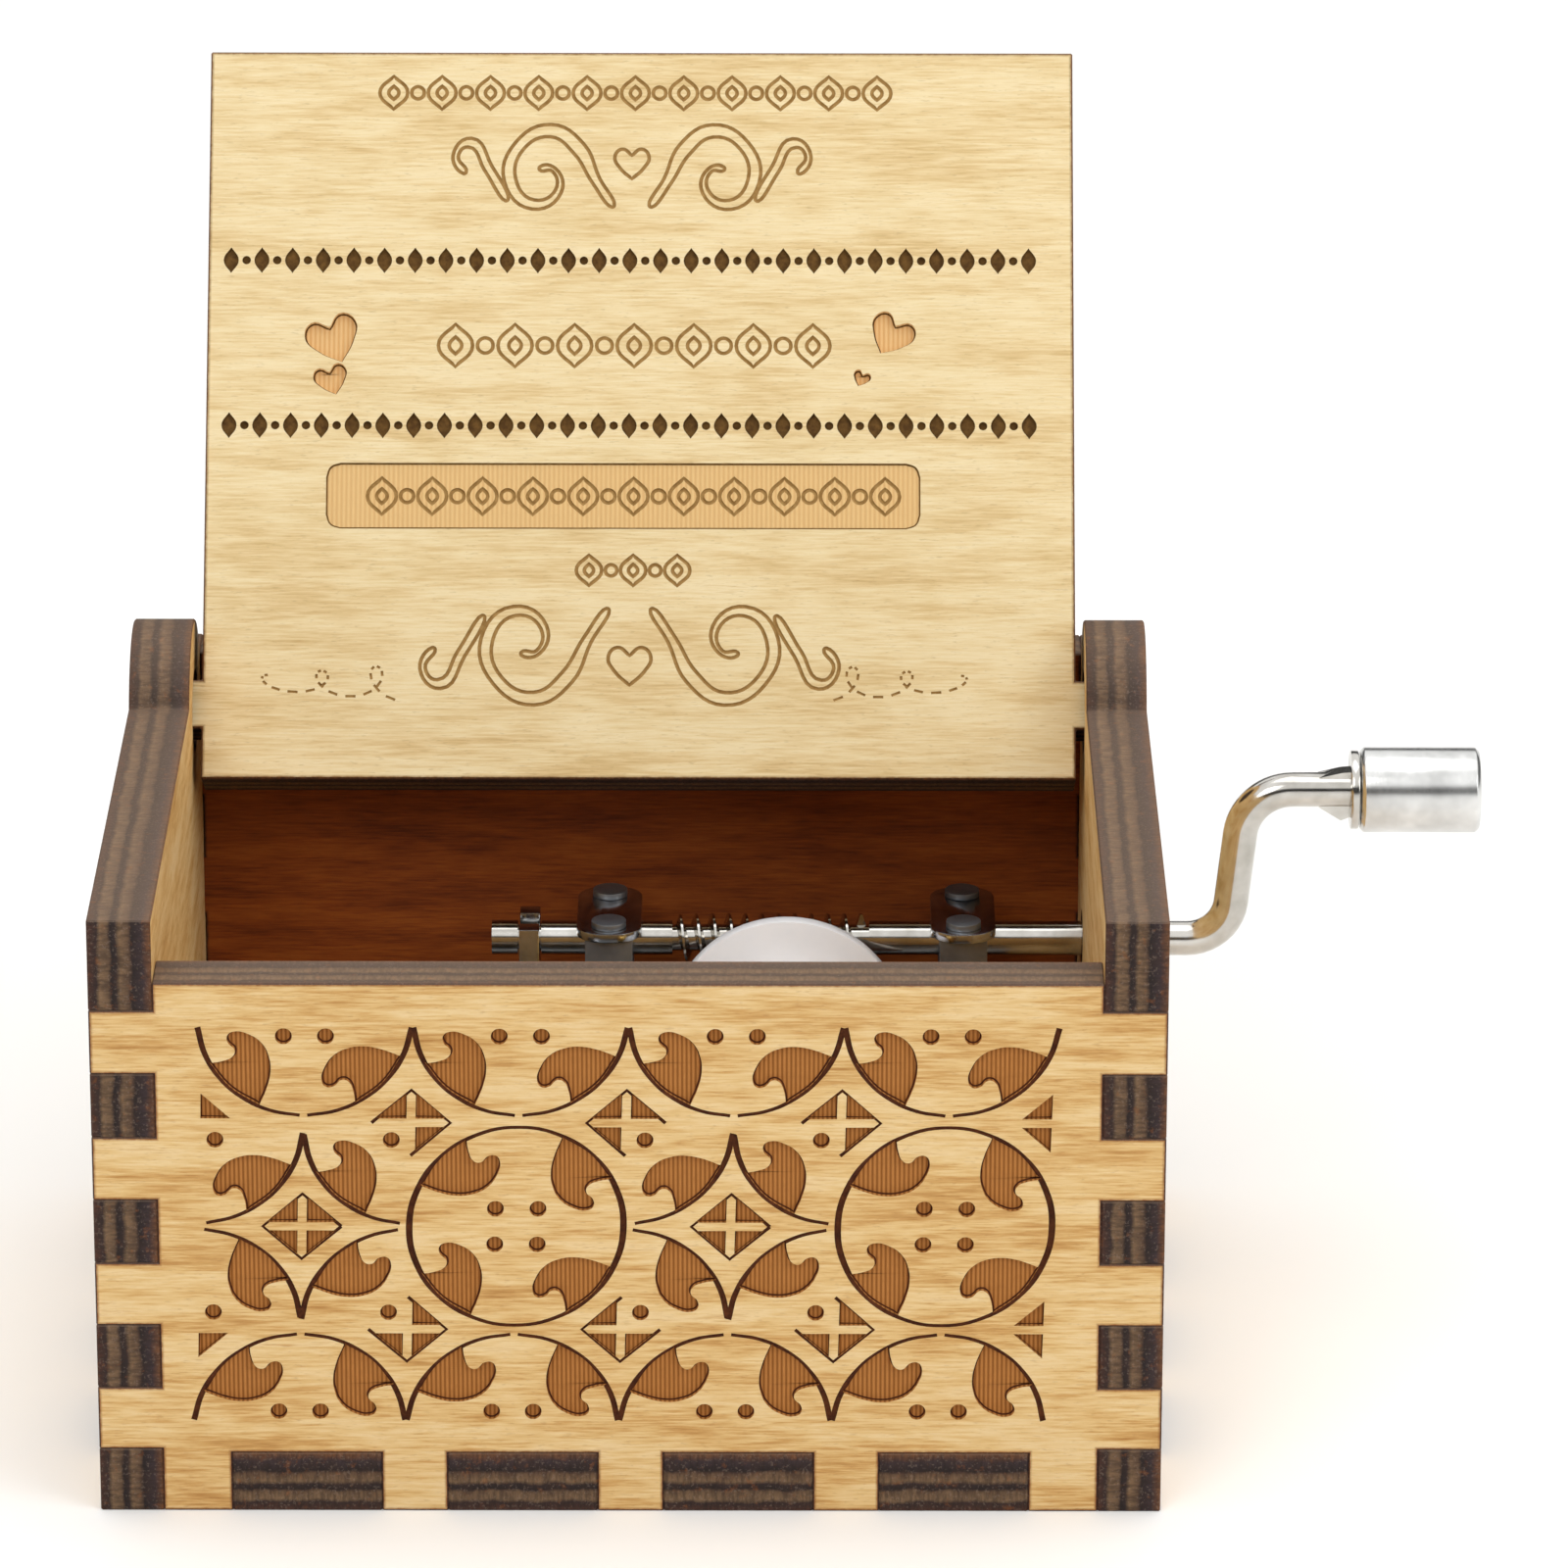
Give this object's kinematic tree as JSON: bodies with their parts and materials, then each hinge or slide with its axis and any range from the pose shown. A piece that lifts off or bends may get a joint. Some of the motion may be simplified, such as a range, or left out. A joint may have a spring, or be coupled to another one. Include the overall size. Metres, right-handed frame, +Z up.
{
  "type": "hand-crank music box",
  "caption": "Finger-jointed plywood music box with a hinged lid, a hand crank on one side and a comb and pinned-drum movement inside.",
  "frame": {"origin": "centre of the flat underside of the case", "axes": "+Z up, -Y towards the front panel, +X towards the crank side"},
  "size_m": [0.0852, 0.0668, 0.0736],
  "materials": {
    "plywood": "laser-cut birch plywood, clear, with charred edges",
    "zinc_casting": "as-cast zinc, satin",
    "keeper_steel": "pressed steel, satin",
    "comb_steel": "ground spring steel",
    "zinc_plated_screw": "zinc plated",
    "lead": "dull lead",
    "drum_brass": "turned brass",
    "pin_steel": "drawn steel wire",
    "white_plastic": "moulded acetal",
    "nickel_plated_rod": "bright nickel plate",
    "aluminium_knob": "turned aluminium"
  },
  "bodies": {
    "case": {"front_panel": "plywood", "back_panel": "plywood", "left_side_panel": "plywood", "right_side_panel": "plywood", "bottom_panel": "plywood", "case_screws": "zinc_plated_screw", "bedplate": "zinc_casting", "left_shaft_keeper": "keeper_steel", "right_shaft_keeper": "keeper_steel", "thrust_fork": "keeper_steel", "front_bracket": "keeper_steel", "bracket_screw": "zinc_plated_screw", "comb": "comb_steel", "comb_weights": "lead", "comb_screws": "zinc_plated_screw"},
    "lid": {"lid": "plywood"},
    "drum": {"drum": "drum_brass", "drum_pins": "pin_steel", "drum_end_caps": "drum_brass", "drum_arbor": "pin_steel", "worm_wheel": "white_plastic"},
    "crank": {"crank_shaft": "nickel_plated_rod", "knob_washer": "nickel_plated_rod"},
    "knob": {"crank_knob": "aluminium_knob", "knob_cap": "aluminium_knob"}
  },
  "joints": [
    {"name": "lid_hinge", "type": "hinge", "parent": "case", "child": "lid", "pos_m": [0, 0.01685, 0.0361], "axis": [-1, 0, 0], "range_deg": [-121.5, 15]},
    {"name": "crank_spin", "type": "hinge", "parent": "case", "child": "crank", "pos_m": [0, 0.0145, 0.0216], "axis": [1, 0, 0], "continuous": true},
    {"name": "drum_spin", "type": "hinge", "parent": "case", "child": "drum", "pos_m": [0.0094, 0, 0.01629], "axis": [0, 1, 0], "continuous": true},
    {"name": "knob_spin", "type": "hinge", "parent": "crank", "child": "knob", "pos_m": [0.05, 0.0145, 0.0317], "axis": [1, 0, 0], "continuous": true}
  ],
  "couplings": [
    {"joint": "drum_spin", "follows": "crank_spin", "ratio": -0.041667}
  ]
}
